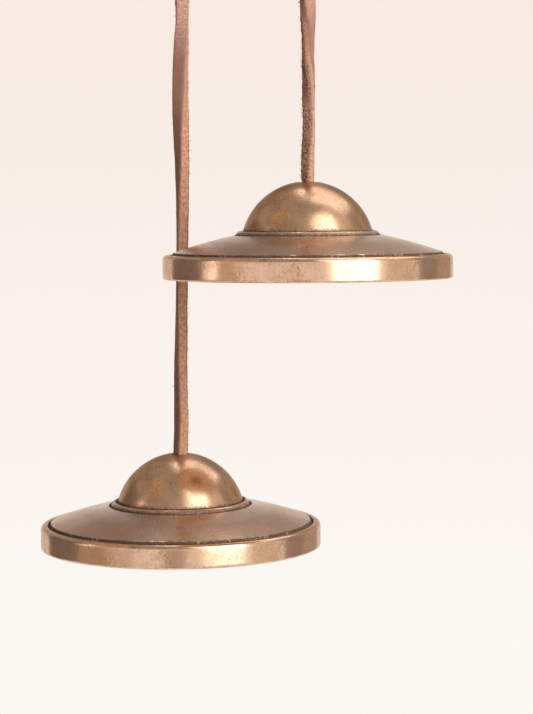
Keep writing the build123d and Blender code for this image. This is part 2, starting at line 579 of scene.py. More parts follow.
# %% Sizes of a casting, in mm from the axis and above the striking face
rim_radius = 35.0
height = 23.4
dome_radius = 16.2
dome_centre = height - dome_radius
dome_wall = 2.6
hollow_radius = dome_radius - dome_wall
hole_radius = 2.2
hole_round = 0.3
step_top = 11.65
step_drop = 1.2
groove_width = 0.45
groove_depth = 0.45
bead_width = 1.35
bead_rise = 0.35
shoulder_edge = (rim_radius - 2.6, 6.35)
shoulder_bulge = 0.25
shoulder_wall = 2.8
rim_groove_inset = 2.05
rim_groove_depth = 0.4
rim_lip = 0.6
rim_round = 1.1
rim_foot_round = 0.5
band_height = 4.75
rim_top = band_height + rim_round
strike_width = 5.0
hollow_draft = 1.0
hollow_corner_round = 1.25
# Places off the hollow's outer corner: the top of its wall, the centre of the corner, the start of its slope
wall_end, corner_centre, slope_inset = (0.3, -1.1), (-0.95, -1.0), 1.4
dome_foot = (math.sqrt(dome_radius**2 - (step_top - dome_centre) ** 2), step_top)
step_width = bead_width + 2 * groove_width
shoulder_top = (dome_foot[0] + step_width, step_top - step_drop)
print("dome's foot", round(dome_foot[0], 2), "mm from the axis, shoulder from", round(shoulder_top[0], 2))

# %% Stretches of a half section


def arc(centre, radius, start, end, steps):
    """Points on an arc of the half section, from one angle to another in degrees."""
    angles = [math.radians(start + (end - start) * i / steps) for i in range(steps + 1)]
    return [(centre[0] + radius * math.cos(a), centre[1] + radius * math.sin(a)) for a in angles]


def straight(start, end, steps):
    """Points on a straight stretch of the half section."""
    return [
        (start[0] + (end[0] - start[0]) * i / steps, start[1] + (end[1] - start[1]) * i / steps)
        for i in range(steps + 1)
    ]


def bulged(start, end, rise, steps):
    """Points on a shallow curve between two places, raised in the middle."""
    points = straight(start, end, steps)
    return [(r, z + rise * math.sin(math.pi * i / steps)) for i, (r, z) in enumerate(points)]


def step_place(across, rise):
    """A place on the beaded step: out from the dome's foot, and up off its slope."""
    return (dome_foot[0] + across, step_top - step_drop * across / step_width + rise)


def shoulder_height(reach):
    """Height of the straight line under the shoulder's bulge."""
    slope = (shoulder_top[1] - shoulder_edge[1]) / (shoulder_edge[0] - shoulder_top[0])
    return shoulder_edge[1] + slope * (shoulder_edge[0] - reach)


def groove(start, bottom, end):
    """A turned groove: down one straight flank and up the other."""
    return straight(start, bottom, 3)[:-1] + straight(bottom, end, 3)


print("the shoulder falls", round(shoulder_height(shoulder_top[0]) - shoulder_edge[1], 2), "mm")

# %% The half section
finish_names = ("dome", "groove", "bead", "shoulder", "band", "strike", "hollow")
DOME, GROOVE, BEAD, SHOULDER, BAND, STRIKE, HOLLOW = range(len(finish_names))
meet_step = 0.01


def half_section():
    """The closed half section as stretches of (finish, points), from the hole over the dome and back."""
    hole_top = dome_centre + math.sqrt(dome_radius**2 - (hole_radius + hole_round) ** 2)
    dome_start = math.degrees(math.asin((hole_top - dome_centre) / dome_radius))
    dome_end = math.degrees(math.asin((step_top - dome_centre) / dome_radius))
    bead_start, bead_end = step_place(groove_width, 0), step_place(step_width - groove_width, 0)
    inner_groove = step_place(groove_width / 2, -groove_depth)
    outer_groove = step_place(step_width - groove_width / 2, -groove_depth)
    rim_groove_bottom = (rim_radius - rim_groove_inset, rim_top - rim_groove_depth)
    lip_start, lip_end = (rim_radius - rim_round - rim_lip, rim_top), (rim_radius - rim_round, rim_top)
    foot_centre = (rim_radius - rim_foot_round, rim_foot_round)
    mouth = (rim_radius - strike_width, 0)

    corner = mouth[0] - hollow_draft
    corner_height = shoulder_height(corner) - shoulder_wall
    wall_top = (corner + wall_end[0], corner_height + wall_end[1])
    round_centre = (corner + corner_centre[0], corner_height + corner_centre[1])
    slope_start = (corner - slope_inset, shoulder_height(corner - slope_inset) - shoulder_wall)
    steep = 0.0
    meet = hollow_radius
    while shoulder_height(meet) - shoulder_wall > dome_centre + steep:
        steep += meet_step
        meet = math.sqrt(hollow_radius**2 - steep**2)
    ceiling = math.degrees(math.asin(steep / hollow_radius))
    ceiling_end = math.degrees(math.acos(hole_radius / hollow_radius))
    hole_bottom = dome_centre + math.sqrt(hollow_radius**2 - hole_radius**2)
    return [
        (DOME, arc((hole_radius + hole_round, hole_top - hole_round), hole_round, 180, 100, 4)),
        (DOME, arc((0, dome_centre), dome_radius, dome_start, dome_end, 44)),
        (GROOVE, groove(dome_foot, inner_groove, bead_start)),
        (BEAD, bulged(bead_start, bead_end, bead_rise, 10)),
        (GROOVE, groove(bead_end, outer_groove, shoulder_top)),
        (SHOULDER, bulged(shoulder_top, shoulder_edge, shoulder_bulge, 36)),
        (GROOVE, groove(shoulder_edge, rim_groove_bottom, lip_start)),
        (BAND, straight(lip_start, lip_end, 2)),
        (BAND, arc((rim_radius - rim_round, band_height), rim_round, 90, 0, 8)),
        (BAND, straight((rim_radius, band_height), (rim_radius, rim_foot_round), 12)),
        (BAND, arc(foot_centre, rim_foot_round, 0, -90, 6)),
        (STRIKE, straight((rim_radius - rim_foot_round, 0), mouth, 8)),
        (HOLLOW, straight(mouth, wall_top, 5)),
        (HOLLOW, arc(round_centre, hollow_corner_round, 10, 105, 6)),
        (HOLLOW, straight(slope_start, (meet, dome_centre + steep), 20)),
        (HOLLOW, arc((0, dome_centre), hollow_radius, ceiling, ceiling_end, 30)),
        (HOLLOW, straight((hole_radius, hole_bottom), (hole_radius, hole_top - hole_round), 4)),
    ]


for finish, points in half_section():
    (start, _), (end, level) = points[0], points[-1]
    print(f"{finish_names[finish]} from radius {start:.2f} to {end:.2f} mm, ending {level:.2f} mm up")

# %% [markdown]
# ## Turning the section
#
# Every point of the section becomes a ring about the axis. A little noise keeps the surface from being
# perfect: slow waves on the dome and shoulder, the chatter of the tool in the grooves, pits in the rough
# hollow, and a few small nicks on the rim's lower edge, where the pair is struck together.

# %% Flaws of a casting
waves = {DOME: 0.02, GROOVE: 0.02, BEAD: 0.02, SHOULDER: 0.03, BAND: 0.01, STRIKE: 0.0, HOLLOW: 0.06}
chatter = {DOME: 0.0, GROOVE: 0.12, BEAD: 0.035, SHOULDER: 0.0, BAND: 0.0, STRIKE: 0.0, HOLLOW: 0.03}
wave_size = 9.0
chatter_size = 0.55
seed_shift = 100.0
nick_count = 17
nick_depth = 0.16
nick_shares = (0.3, 1.0)
nick_reach = 0.9
nick_height = 0.45


def nick_places(seed):
    """Angles and depths of the strike marks round the rim's lower edge."""
    rng = random.Random(seed)
    return [(rng.uniform(0, math.tau), rng.uniform(*nick_shares) * nick_depth) for _ in range(nick_count)]


def flawed(r, z, angle, finish, seed, nicks):
    """A point of the turned section, moved by the small flaws of its finish."""
    spot = Vector((math.cos(angle) * r, math.sin(angle) * r, z + seed_shift * seed))
    move = waves[finish] * noise.noise(spot / wave_size) + chatter[finish] * noise.noise(spot / chatter_size)
    if finish == BAND and z < nick_height:
        for place, depth in nicks:
            away = abs((angle - place + math.pi) % math.tau - math.pi) * r
            move -= depth * max(0.0, 1 - (away / nick_reach) ** 2) * (1 - z / nick_height)
    outward = move if finish in (BAND, HOLLOW) else 0.0
    upward = 0.0 if finish in (BAND, STRIKE) else move
    return r + outward, z + upward


print(nick_count, "nicks, up to", nick_depth, "mm deep")

# %% Turned castings
turn_steps = 320
casting_crease = math.radians(32)


def turned_mesh(name, seed):
    """The whole casting as one closed mesh, with a material index for each finish."""
    profile = []
    for finish, points in half_section():
        profile += [(r, z, finish) for r, z in points[:-1]]
    nicks = nick_places(seed)
    vertices = []
    for r, z, finish in profile:
        for step in range(turn_steps):
            angle = math.tau * step / turn_steps
            reach, rise = flawed(r, z, angle, finish, seed, nicks)
            vertices.append((reach * math.cos(angle) * mm, reach * math.sin(angle) * mm, rise * mm))
    faces, finishes = [], []
    for i, (_, _, finish) in enumerate(profile):
        this, following = i * turn_steps, (i + 1) % len(profile) * turn_steps
        for step in range(turn_steps):
            n = (step + 1) % turn_steps
            faces.append((this + step, following + step, following + n, this + n))
            finishes.append(finish)
    mesh = bpy.data.meshes.new(name)
    mesh.from_pydata(vertices, [], faces)
    mesh.polygons.foreach_set("material_index", finishes)
    mesh.polygons.foreach_set("use_smooth", [True] * len(faces))
    mesh.set_sharp_from_angle(angle=casting_crease)
    mesh.validate()
    return mesh


cymbals = {}
for side, seed in (("upper", 1), ("lower", 2)):
    spin = joints[f"{side}_spin"]
    axis = Vector(spin["axis"])
    seat = Vector(spin["pos_m"]) - axis * height * mm
    cymbal = bpy.data.objects.new(f"cymbal_{side}", turned_mesh(f"cymbal_{side}", seed))
    lean = Vector((0, 0, 1)).rotation_difference(axis).to_matrix().to_4x4()
    cymbal.matrix_world = Matrix.Translation(seat) @ lean
    scene.collection.objects.link(cymbal)
    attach(cymbal, f"{side}_bell")
    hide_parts(f"{side}_cymbal")
    cymbals[side] = cymbal
    print(cymbal.name, len(cymbal.data.polygons), "faces, seat at", [round(v / mm, 2) for v in seat])

# %% [markdown]
# ## Helpers for materials
#
# A material is a small network of nodes. These helpers place a node and fill its inputs, and make a node
# group with named inputs and outputs, which is how one effect is shared by several materials.

# %% Node helpers


def add_node(tree, kind, inputs=None, **settings):
    """Place a node, apply its settings, and fill its inputs with values or links from other sockets."""
    made = tree.nodes.new(kind)
    for key, value in settings.items():
        setattr(made, key, value)
    for key, value in (inputs or {}).items():
        if isinstance(value, bpy.types.NodeSocket):
            tree.links.new(value, made.inputs[key])
        else:
            made.inputs[key].default_value = value
    return made


def calc(tree, operation, a, b=0.0):
    """The result of one Math node."""
    return add_node(tree, "ShaderNodeMath", {0: a, 1: b}, operation=operation).outputs[0]


def colour_mix(tree, factor, a, b):
    """One colour fading into another by a factor."""
    return add_node(tree, "ShaderNodeMix", {0: factor, 6: a, 7: b}, data_type="RGBA").outputs[2]


def remap(tree, value, low, high, to_low=0.0, to_high=1.0):
    """A value stretched from one range to another, held at the ends."""
    made = add_node(tree, "ShaderNodeMapRange", {0: value, 1: low, 2: high, 3: to_low, 4: to_high})
    return made.outputs[0]


def fractal(tree, vector, scale, detail=3.0, roughness=0.55):
    """Noise between 0 and 1 on given coordinates."""
    values = {"Vector": vector, "Scale": scale, "Detail": detail, "Roughness": roughness}
    return add_node(tree, "ShaderNodeTexNoise", values).outputs["Fac"]


print("node helpers ready")

# %% Groups and materials


def new_group(name, inputs, outputs):
    """A node group with float inputs and float outputs."""
    tree = bpy.data.node_groups.new(name, "ShaderNodeTree")
    for label in inputs:
        tree.interface.new_socket(label, in_out="INPUT", socket_type="NodeSocketFloat")
    for label in outputs:
        tree.interface.new_socket(label, in_out="OUTPUT", socket_type="NodeSocketFloat")
    return tree, tree.nodes.new("NodeGroupInput").outputs, tree.nodes.new("NodeGroupOutput").inputs


def use_group(tree, name, **values):
    """Place a finished group in a material with its own values, and return its outputs."""
    inputs = {key.replace("_", " "): value for key, value in values.items()}
    return add_node(tree, "ShaderNodeGroup", inputs, node_tree=bpy.data.node_groups[name]).outputs


def new_material(name):
    """An empty material with a Principled shader, and its node tree."""
    material = bpy.data.materials.new(name)
    material.use_nodes = True
    return material, material.node_tree, material.node_tree.nodes["Principled BSDF"]


print("group and material helpers ready")

# %% [markdown]
# ## Effects of the turned bronze
#
# The bronze finishes share four node groups, so that each effect is built once and tuned in every material.
# The first says where a point lies on a turned piece: its distance from the axis, its height and its
# direction round the axis, all read from the object's own coordinates, so that the marks stay on the metal
# when it moves. The other three are effects. Turning lines run round the axis, so their noise is fed with
# the distance and the height, which change fast, and with the direction, which changes slowly. Tarnish is
# cloudy and the same in all directions. Soot is the dark patina that gathers beside a groove, with a ragged
# edge.

# %% Place on a turned piece
axis_guard = 0.1 * mm
tree, _, put = new_group("turned_place", [], ["Radius", "Height", "Round X", "Round Y"])
place = add_node(tree, "ShaderNodeTexCoord").outputs["Object"]
parts = add_node(tree, "ShaderNodeSeparateXYZ", {0: place}).outputs
flat = add_node(tree, "ShaderNodeCombineXYZ", {0: parts[0], 1: parts[1]}).outputs[0]
radius = add_node(tree, "ShaderNodeVectorMath", {0: flat}, operation="LENGTH").outputs["Value"]
tree.links.new(calc(tree, "DIVIDE", radius, mm), put["Radius"])
tree.links.new(calc(tree, "DIVIDE", parts[2], mm), put["Height"])
safe = calc(tree, "MAXIMUM", radius, axis_guard)
tree.links.new(calc(tree, "DIVIDE", parts[0], safe), put["Round X"])
tree.links.new(calc(tree, "DIVIDE", parts[1], safe), put["Round Y"])
print(tree.name, "gives", [label for label in put.keys() if label])

# %% Turning lines
tree, given, put = new_group("turning_lines", ["Fineness", "Runs"], ["Lines"])
where = use_group(tree, "turned_place")
fine_radius = calc(tree, "MULTIPLY", where["Radius"], given["Fineness"])
fine_height = calc(tree, "MULTIPLY", where["Height"], given["Fineness"])
run_x = calc(tree, "MULTIPLY", where["Round X"], given["Runs"])
run_y = calc(tree, "MULTIPLY", where["Round Y"], given["Runs"])
spot = add_node(tree, "ShaderNodeCombineXYZ", {0: fine_radius, 1: fine_height, 2: run_x}).outputs[0]
grain = {"Vector": spot, "W": run_y, "Scale": 1.0, "Detail": 4.0, "Roughness": 0.65}
streaks = add_node(tree, "ShaderNodeTexNoise", grain, noise_dimensions="4D").outputs["Fac"]
tree.links.new(remap(tree, streaks, 0.3, 0.7), put["Lines"])
print(tree.name, "takes", [label for label in given.keys() if label])

# %% Tarnish
clump_share = 1.7
tree, given, put = new_group("tarnish", ["Cloud Size", "Speck Size"], ["Clouds", "Specks"])
place = add_node(tree, "ShaderNodeTexCoord").outputs["Object"]
cloud_scale = calc(tree, "DIVIDE", 1 / mm, given["Cloud Size"])
speck_scale = calc(tree, "DIVIDE", 1 / mm, given["Speck Size"])
clouds = fractal(tree, place, cloud_scale, detail=5.0, roughness=0.6)
clump = fractal(tree, place, calc(tree, "MULTIPLY", cloud_scale, clump_share), detail=3.0)
specks = remap(tree, fractal(tree, place, speck_scale, detail=2.0, roughness=0.7), 0.42, 0.70)
tree.links.new(remap(tree, clouds, 0.36, 0.64), put["Clouds"])
tree.links.new(calc(tree, "MULTIPLY", specks, remap(tree, clump, 0.40, 0.62, 0.15, 1.0)), put["Specks"])
print(tree.name, "takes", [label for label in given.keys() if label])

# %% Soot beside a groove
tatters_per_mm = 1.6
tree, given, put = new_group("groove_soot", ["Ring", "Reach", "Ragged"], ["Soot"])
where = use_group(tree, "turned_place")
away = calc(tree, "ABSOLUTE", calc(tree, "SUBTRACT", where["Radius"], given["Ring"]))
place = add_node(tree, "ShaderNodeTexCoord").outputs["Object"]
tatters = fractal(tree, place, tatters_per_mm / mm, detail=4.0, roughness=0.7)
tatters = calc(tree, "MULTIPLY", calc(tree, "SUBTRACT", tatters, 0.5), given["Ragged"])
near = calc(tree, "DIVIDE", calc(tree, "ADD", away, tatters), given["Reach"])
tree.links.new(remap(tree, near, 1.0, 0.35), put["Soot"])
print("bronze groups:", [group.name for group in bpy.data.node_groups])

# %% [markdown]
# ## Bronze finishes
#
# Bell bronze is a warm pinkish gold where it is rubbed and a brown olive where it has tarnished. The dome is
# satin and duller round its hole, where the thong rubs it. The shoulder is browner, with a greyer film at the
# dome's foot, where a cloth doesn't reach. The band and the bead are bright from handling, the grooves are
# nearly black with bright specks, and the hollow is left rough from the mould. Each could be a material of
# its own, but they differ only in numbers, so one function makes them all. A metal also has a colour for
# glancing angles, and a darker one there makes the dome and the band look older at their sides.

# %% A bronze finish
soot_colour = (0.075, 0.045, 0.034, 1)
soot_cover = 0.85
soot_dulls = 0.25
speck_dulls = 0.08
metal_relief = 0.01 * mm
rub_reach = (3.0, 7.0)
film_colour = (0.86, 0.76, 0.68, 1)
film_width = 7.0


def make_bronze(
    name,
    tones,
    rough,
    wear,
    lines=0.3,
    specks=0.3,
    speck=(0.24, 0.14, 0.08, 1),
    soot_rings=(),
    edge=(1, 1, 1, 1),
    rub=0.0,
    film=0.0,
):
    """A bronze finish.

    It has clean, blushed and dull tones, a roughness where it is bright and where it is dull, how far it is
    worn, how strong its turning lines and specks are, the rings of soot beside it as (radius, reach) in mm,
    its colour at glancing angles, how much duller it is round the hole, and its film at the dome's foot.
    """
    clean, blush, dull = tones
    material, tree, shader = new_material(name)
    stain = use_group(tree, "tarnish", Cloud_Size=8.0, Speck_Size=0.55)
    patches = use_group(tree, "tarnish", Cloud_Size=3.1, Speck_Size=0.9)
    turned = use_group(tree, "turning_lines", Fineness=3.2, Runs=2.5)
    colour = colour_mix(tree, stain["Clouds"], clean, blush)
    worn = calc(tree, "ADD", patches["Clouds"], calc(tree, "MULTIPLY", turned["Lines"], lines))
    worn = remap(tree, worn, 0.25, 1.0 + lines)
    colour = colour_mix(tree, calc(tree, "MULTIPLY", worn, wear), colour, dull)
    colour = colour_mix(tree, calc(tree, "MULTIPLY", stain["Specks"], specks), colour, speck)
    dullness = remap(tree, worn, 0.0, 1.0, *rough)
    dullness = calc(tree, "ADD", dullness, calc(tree, "MULTIPLY", stain["Specks"], speck_dulls))
    if rub:
        reach = use_group(tree, "turned_place")["Radius"]
        dullness = calc(tree, "ADD", dullness, remap(tree, reach, *rub_reach, rub, 0.0))
    if film:
        reach = use_group(tree, "turned_place")["Radius"]
        cover = remap(tree, reach, shoulder_top[0], shoulder_top[0] + film_width, film, 0.0)
        colour = colour_mix(tree, cover, colour, film_colour)
    soot = None
    for ring, reach in soot_rings:
        ring_soot = use_group(tree, "groove_soot", Ring=ring, Reach=reach, Ragged=0.9)["Soot"]
        soot = ring_soot if soot is None else calc(tree, "MAXIMUM", soot, ring_soot)
    if soot is None:
        shader.inputs["Metallic"].default_value = 1.0
    else:
        soot = calc(tree, "MULTIPLY", soot, remap(tree, stain["Specks"], 0.3, 0.7, 1.0, 0.2))
        colour = colour_mix(tree, calc(tree, "MULTIPLY", soot, soot_cover), colour, soot_colour)
        dullness = calc(tree, "ADD", dullness, calc(tree, "MULTIPLY", soot, soot_dulls))
        tree.links.new(remap(tree, soot, 0.0, 1.0, 1.0, 0.4), shader.inputs["Metallic"])
    relief = calc(tree, "ADD", calc(tree, "MULTIPLY", turned["Lines"], lines), stain["Specks"])
    bump = add_node(tree, "ShaderNodeBump", {"Height": relief, "Strength": 0.2, "Distance": metal_relief})
    tree.links.new(colour, shader.inputs["Base Color"])
    tree.links.new(dullness, shader.inputs["Roughness"])
    tree.links.new(bump.outputs[0], shader.inputs["Normal"])
    shader.inputs["Specular Tint"].default_value = edge
    return material


print("film at the dome's foot:", film_width, "mm wide")

# %% The seven bronze finishes
gold, copper, rose = (0.82, 0.55, 0.345, 1), (0.74, 0.45, 0.31, 1), (0.86, 0.57, 0.45, 1)
olive, umber, taupe = (0.46, 0.32, 0.19, 1), (0.40, 0.255, 0.175, 1), (0.725, 0.495, 0.355, 1)
chestnut, straw, honey = (0.645, 0.415, 0.28, 1), (0.86, 0.63, 0.44, 1), (0.80, 0.54, 0.36, 1)
step_soot_inset, rim_soot_inset = 0.2, 2.15
step_inner = dome_foot[0] + step_soot_inset
step_outer = shoulder_top[0] - step_soot_inset
rim_groove = rim_radius - rim_soot_inset
bronze_finishes = [
    make_bronze(
        "bronze_dome",
        tones=(gold, copper, olive),
        rough=(0.22, 0.30),
        wear=0.6,
        lines=0.2,
        specks=0.45,
        soot_rings=[(step_inner, 0.42)],
        edge=(0.55, 0.50, 0.46, 1),
        rub=0.16,
    ),
    make_bronze(
        "bronze_groove",
        tones=(umber, umber, umber),
        rough=(0.5, 0.6),
        wear=0.0,
        specks=0.6,
        speck=rose,
        soot_rings=[(step_inner, 0.9), (step_outer, 0.9), (rim_groove, 0.9)],
    ),
    make_bronze(
        "bronze_bead",
        tones=(gold, copper, umber),
        rough=(0.20, 0.34),
        wear=0.7,
        lines=0.4,
        # On the bead the soot is partly patina from the grooves and partly painted shade on the bead's sides,
        # which leaves a bright line along its top.
        soot_rings=[(step_inner, 0.82), (step_outer, 0.82)],
    ),
    make_bronze(
        "bronze_shoulder",
        tones=(taupe, chestnut, umber),
        rough=(0.22, 0.28),
        wear=0.35,
        lines=0.7,
        specks=0.1,
        soot_rings=[(step_outer, 0.4), (rim_groove, 0.5)],
        film=0.65,
    ),
    make_bronze(
        "bronze_band",
        tones=(rose, gold, olive),
        rough=(0.13, 0.25),
        wear=0.42,
        lines=0.6,
        specks=0.6,
        soot_rings=[(rim_groove, 0.45)],
        edge=(0.82, 0.74, 0.66, 1),
    ),
    make_bronze("bronze_strike", (gold, rose, olive), (0.18, 0.30), wear=0.6, lines=0.8, specks=0.4),
    make_bronze("bronze_hollow", (straw, honey, olive), (0.34, 0.48), wear=0.45, lines=0.5, specks=0.4),
]
for cymbal in cymbals.values():
    for material in bronze_finishes:
        cymbal.data.materials.append(material)
print([material.name for material in bronze_finishes])

# %% [markdown]
# ## Leather finishes
#
# The leather's marks follow its strip, not the room, so its noise is fed with the UV map: millimetres round
# the strip and millimetres along it. The grain side is brown with darker creases. Near the middle of the
# thong, where the strands' tops catch the key light, painted light gives each side a tone of its own, much
# paler on the grain. The flesh side is a tan nap with dark flecks, and the cut edges are more orange, with
# their flecks drawn out lengthwise. The loose fibres are the palest. Sheen, which is made for cloth and
# fuzz, gives the napped sides their soft rim.

# %% Marks of the hide
thong_half = thong_along[thong_middle] / mm
tones_per_mm = 0.22
# Painted light: the strands' tops near the thong's middle are painted in a lighter tone, where they catch the
# key light.
painted_light_shift = 4.0
painted_light_reach = (35.0, 46.0)
painted_light_share = 0.9
tree, given, put = new_group("hide_fibres", ["Fleck Size", "Draw"], ["Tone", "Flecks", "Painted Light"])
layout = add_node(tree, "ShaderNodeUVMap", uv_map="leather").outputs[0]
parts = add_node(tree, "ShaderNodeSeparateXYZ", {0: layout}).outputs
drawn = calc(tree, "DIVIDE", parts[1], given["Draw"])
spot = add_node(tree, "ShaderNodeCombineXYZ", {0: parts[0], 1: drawn}).outputs[0]
fleck_scale = calc(tree, "DIVIDE", 1.0, given["Fleck Size"])
tones = fractal(tree, layout, tones_per_mm, detail=4.0)
tree.links.new(remap(tree, tones, 0.3, 0.7), put["Tone"])
from_middle = calc(tree, "ABSOLUTE", calc(tree, "SUBTRACT", parts[1], thong_half - painted_light_shift))
tree.links.new(remap(tree, from_middle, *painted_light_reach, painted_light_share, 0.0), put["Painted Light"])
flecks = fractal(tree, spot, fleck_scale, detail=3.0, roughness=0.7)
tree.links.new(remap(tree, flecks, 0.39, 0.61), put["Flecks"])
print(tree.name, "gives", [label for label in put.keys() if label])

# %% A leather finish
fleck_cover = 0.75
fleck_relief = 0.08 * mm
fleck_dulls = 0.15


def make_leather(name, light, dark, fleck, painted_light_tone, fleck_size, draw, sheen, rough, relief):
    """A surface of the hide: two tones, its flecks, its painted light tone near the thong's middle, and its
    relief.
    """
    material, tree, shader = new_material(name)
    hide = use_group(tree, "hide_fibres", Fleck_Size=fleck_size, Draw=draw)
    colour = colour_mix(tree, hide["Tone"], light, dark)
    # Painted light: near the thong's middle each side takes its painted light tone.
    colour = colour_mix(tree, hide["Painted Light"], colour, painted_light_tone)
    colour = colour_mix(tree, calc(tree, "MULTIPLY", hide["Flecks"], fleck_cover), colour, fleck)
    dullness = remap(tree, hide["Flecks"], 0.0, 1.0, rough, rough + fleck_dulls)
    raised = {"Height": hide["Flecks"], "Strength": relief, "Distance": fleck_relief}
    bump = add_node(tree, "ShaderNodeBump", raised)
    tree.links.new(colour, shader.inputs["Base Color"])
    tree.links.new(dullness, shader.inputs["Roughness"])
    tree.links.new(bump.outputs[0], shader.inputs["Normal"])
    shader.inputs["Specular IOR Level"].default_value = 0.3
    shader.inputs["Sheen Weight"].default_value = sheen
    shader.inputs["Sheen Roughness"].default_value = 0.5
    return material


print("flecks stand up to", fleck_relief / mm, "mm proud")

# %% The four leather finishes
leather_finishes = [
    make_leather(
        "leather_grain",
        light=(0.51, 0.26, 0.18, 1),
        dark=(0.375, 0.19, 0.13, 1),
        fleck=(0.42, 0.225, 0.165, 1),
        painted_light_tone=(0.90, 0.515, 0.38, 1),
        fleck_size=0.5,
        draw=1.2,
        sheen=0.03,
        rough=0.5,
        relief=0.9,
    ),
    make_leather(
        "leather_flesh",
        light=(0.74, 0.41, 0.28, 1),
        dark=(0.53, 0.275, 0.18, 1),
        fleck=(0.17, 0.082, 0.055, 1),
        painted_light_tone=(0.60, 0.33, 0.22, 1),
        fleck_size=0.42,
        draw=1.2,
        sheen=0.2,
        rough=0.85,
        relief=1.0,
    ),
    make_leather(
        "leather_edge",
        light=(0.80, 0.455, 0.29, 1),
        dark=(0.70, 0.375, 0.228, 1),
        fleck=(0.44, 0.22, 0.128, 1),
        painted_light_tone=(0.76, 0.42, 0.268, 1),
        fleck_size=0.45,
        draw=1.8,
        sheen=0.2,
        rough=0.8,
        relief=0.8,
    ),
    make_leather(
        "leather_nap",
        light=(0.78, 0.50, 0.36, 1),
        dark=(0.66, 0.39, 0.27, 1),
        fleck=(0.55, 0.31, 0.20, 1),
        painted_light_tone=(0.78, 0.50, 0.36, 1),
        fleck_size=0.6,
        draw=1.0,
        sheen=0.2,
        rough=0.9,
        relief=0.2,
    ),
]
strips = [piece for leg in legs.values() for piece, _ in leg.values()] + list(knots.values())
for strip in strips:
    for material in leather_finishes:
        strip.data.materials.append(material)
print(len(strips), "pieces of leather")

# %% [markdown]
# ## Floor and studio
#
# The pair hangs in a wide pale bowl: a floor far below that curves up into a low wall all round. The paper
# is plain and diffuse. To the camera and in reflections it glows instead, at a strength of 1, so that it
# looks as pale as a lit sweep without more light on the object. A Light Path node tells these rays apart.
# The room above the wall is dim, and dimmer still as a light.

# %% Pale bowl
hang_centre = (cad_box[0] + cad_box[1]) / 2
floor_height = -1.30
bowl_radius = 2.4
bowl_round = 0.7
wall_height = 0.14
bowl_hole = 0.02
bowl_flat = 0.9
bowl_steps = 96


def bowl_profile():
    """Distance from the centre and height of the bowl's floor, bend and wall."""
    bend = arc((bowl_radius - bowl_round, floor_height + bowl_round), bowl_round, -90, 0, 16)
    return [(bowl_hole, floor_height), (bowl_flat, floor_height)] + bend + [(bowl_radius, wall_height)]


bowl_points = bowl_profile()
bowl_vertices = [
    (
        hang_centre.x + reach * math.cos(math.tau * step / bowl_steps),
        hang_centre.y + reach * math.sin(math.tau * step / bowl_steps),
        rise,
    )
    for reach, rise in bowl_points
    for step in range(bowl_steps)
]
bowl_faces = [
    (
        i * bowl_steps + step,
        i * bowl_steps + (step + 1) % bowl_steps,
        (i + 1) * bowl_steps + (step + 1) % bowl_steps,
        (i + 1) * bowl_steps + step,
    )
    for i in range(len(bowl_points) - 1)
    for step in range(bowl_steps)
]
bowl_mesh = bpy.data.meshes.new("studio_bowl")
bowl_mesh.from_pydata(bowl_vertices, [], bowl_faces)
bowl_mesh.polygons.foreach_set("use_smooth", [True] * len(bowl_faces))
bowl = bpy.data.objects.new("studio_bowl", bowl_mesh)
scene.collection.objects.link(bowl)
print("bowl of", bowl_radius, "m,", round(hang_centre.z - floor_height, 2), "m below the pair")

# %% Paper
paper_glow = 0.96
paper_heights = (-0.55, 0.05)
paper_low, paper_high = (1.0, 0.968, 0.924, 1), (0.966, 0.855, 0.791, 1)


def empty_material(name):
    """A material with nothing in its node tree."""
    material = bpy.data.materials.new(name)
    material.use_nodes = True
    material.node_tree.nodes.clear()
    return material, material.node_tree


def seen_directly(tree):
    """1 for rays from the camera and for reflected or transmitted ones, 0 for soft light."""
    path = add_node(tree, "ShaderNodeLightPath").outputs
    seen = calc(tree, "ADD", path["Is Camera Ray"], path["Is Glossy Ray"])
    return calc(tree, "MINIMUM", calc(tree, "ADD", seen, path["Is Transmission Ray"]), 1.0)


paper, tree = empty_material("studio_paper")
place = add_node(tree, "ShaderNodeTexCoord").outputs["Object"]
rise = add_node(tree, "ShaderNodeSeparateXYZ", {0: place}).outputs[2]
pale = colour_mix(tree, remap(tree, rise, *paper_heights), paper_low, paper_high)
lit = add_node(tree, "ShaderNodeBsdfDiffuse", {"Color": (0.62, 0.58, 0.55, 1)})
glow = add_node(tree, "ShaderNodeEmission", {"Color": pale, "Strength": 1.0})
share = calc(tree, "MULTIPLY", seen_directly(tree), paper_glow)
both = add_node(tree, "ShaderNodeMixShader", {0: share, 1: lit.outputs[0], 2: glow.outputs[0]})
add_node(tree, "ShaderNodeOutputMaterial", {"Surface": both.outputs[0]})
bowl_mesh.materials.append(paper)
print(paper.name, "glows in", round(100 * paper_glow), "% of what the camera sees of it")

# %% Room
room_strength = 0.42
room_tones = [
    (0.08, (0.93, 0.83, 0.77, 1)),
    (0.26, (0.60, 0.53, 0.48, 1)),
    (0.44, (0.43, 0.375, 0.335, 1)),
    (1.00, (0.40, 0.35, 0.31, 1)),
]
world = bpy.data.worlds.new("room")
world.use_nodes = True
tree = world.node_tree
way = add_node(tree, "ShaderNodeTexCoord").outputs["Generated"]
rise = add_node(tree, "ShaderNodeSeparateXYZ", {0: way}).outputs[2]
ramp = add_node(tree, "ShaderNodeValToRGB", {0: rise})
for number, (stop, tone) in enumerate(room_tones):
    band = ramp.color_ramp.elements[number] if number < 2 else ramp.color_ramp.elements.new(stop)
    band.position = stop
    band.color = tone
strength = remap(tree, seen_directly(tree), 0.0, 1.0, room_strength, 1.0)
tree.links.new(ramp.outputs[0], tree.nodes["Background"].inputs["Color"])
tree.links.new(strength, tree.nodes["Background"].inputs["Strength"])
scene.world = world
print("the room has", len(room_tones), "tones and lights at", room_strength)
